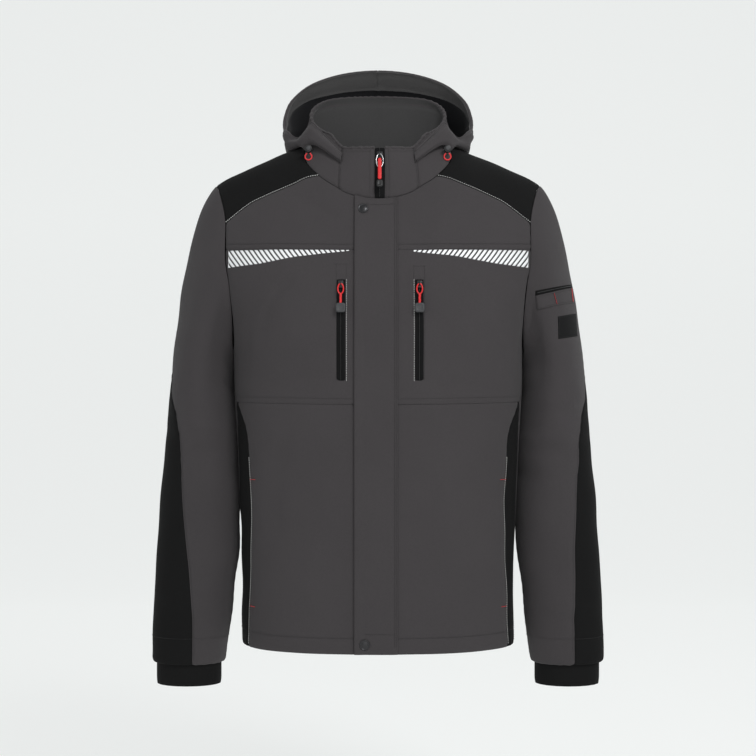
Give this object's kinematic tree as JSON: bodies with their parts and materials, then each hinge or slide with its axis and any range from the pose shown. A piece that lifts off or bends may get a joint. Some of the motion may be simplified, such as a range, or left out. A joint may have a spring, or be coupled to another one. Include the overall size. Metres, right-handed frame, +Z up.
{
  "type": "softshell jacket",
  "caption": "Hooded softshell work jacket in its worn shape, with storm flap, stand collar, chest zips, black yokes and side panels, and a slack hood.",
  "frame": {"origin": "centre of the neck at the height of the shoulder points, where the wearer holds the jacket up", "axes": "+Z up the jacket, -Y out of the front, +X towards the wearer's left"},
  "size_m": [0.6702, 0.3222, 0.9319],
  "materials": {
    "softshell": "warm dark grey bonded softshell, fine matt weave",
    "black_softshell": "black bonded softshell, fine matt weave",
    "inner_softshell": "dark grey brushed inner face",
    "lining": "black lining",
    "zip_tape": "black reversed coil zip and its tape",
    "slider": "black enamelled zip slider",
    "red_puller": "red moulded puller and cord",
    "grey_rubber": "grey moulded rubber, bare",
    "black_rubber": "black moulded rubber, bare",
    "wire": "bent steel wire",
    "snap": "gunmetal press stud cap",
    "cord_lock": "black moulded cord lock",
    "cord": "red elastic cord",
    "label": "black woven label, bare"
  },
  "bodies": {
    "jacket": {"back": "softshell", "chest_slider_left": "slider", "chest_slider_right": "slider", "chest_zip_left": "zip_tape", "chest_zip_right": "zip_tape", "collar_front_left": "softshell", "collar_front_right": "softshell", "collar_inner": "inner_softshell", "collar_outer": "softshell", "collar_zip": "zip_tape", "cord_button_left": "grey_rubber", "cord_button_right": "grey_rubber", "cord_lock_left": "cord_lock", "cord_lock_right": "cord_lock", "cord_loop_left": "cord", "cord_loop_right": "cord", "cuff_left": "black_softshell", "cuff_right": "black_softshell", "front_lower_left": "softshell", "front_lower_right": "softshell", "front_middle_left": "softshell", "front_middle_right": "softshell", "front_upper_left": "softshell", "front_upper_right": "softshell", "front_zip": "zip_tape", "hood_facing_left": "softshell", "hood_facing_right": "softshell", "hood_left": "softshell", "hood_lining_left": "lining", "hood_lining_right": "lining", "hood_right": "softshell", "neck_slider": "slider", "pocket_opening": "black_softshell", "pocket_patch": "softshell", "side_panel_left": "black_softshell", "side_panel_right": "black_softshell", "sleeve_back_left": "softshell", "sleeve_back_right": "softshell", "sleeve_front_left": "softshell", "sleeve_front_right": "softshell", "sleeve_label": "label", "sleeve_panel_left": "black_softshell", "sleeve_panel_right": "black_softshell", "snap_bottom": "snap", "snap_top": "snap", "storm_flap": "softshell", "yoke_left": "black_softshell", "yoke_right": "black_softshell"},
    "neck_pull": {"neck_bail": "wire", "neck_strap": "red_puller", "neck_tab": "black_rubber"},
    "right_chest_pull": {"chest_pull_right": "red_puller", "chest_tab_right": "grey_rubber"},
    "left_chest_pull": {"chest_pull_left": "red_puller", "chest_tab_left": "grey_rubber"}
  },
  "joints": [
    {"name": "neck_pull_swing", "type": "hinge", "parent": "jacket", "child": "neck_pull", "pos_m": [0.00245, -0.08723, 0.00416], "axis": [-1, 0, 0], "range_deg": [0, 150]},
    {"name": "right_chest_pull_swing", "type": "hinge", "parent": "jacket", "child": "right_chest_pull", "pos_m": [-0.05286, -0.13832, -0.18627], "axis": [-1, 0, 0], "range_deg": [0, 150]},
    {"name": "left_chest_pull_swing", "type": "hinge", "parent": "jacket", "child": "left_chest_pull", "pos_m": [0.05902, -0.13792, -0.18627], "axis": [-1, 0, 0], "range_deg": [0, 150]}
  ]
}
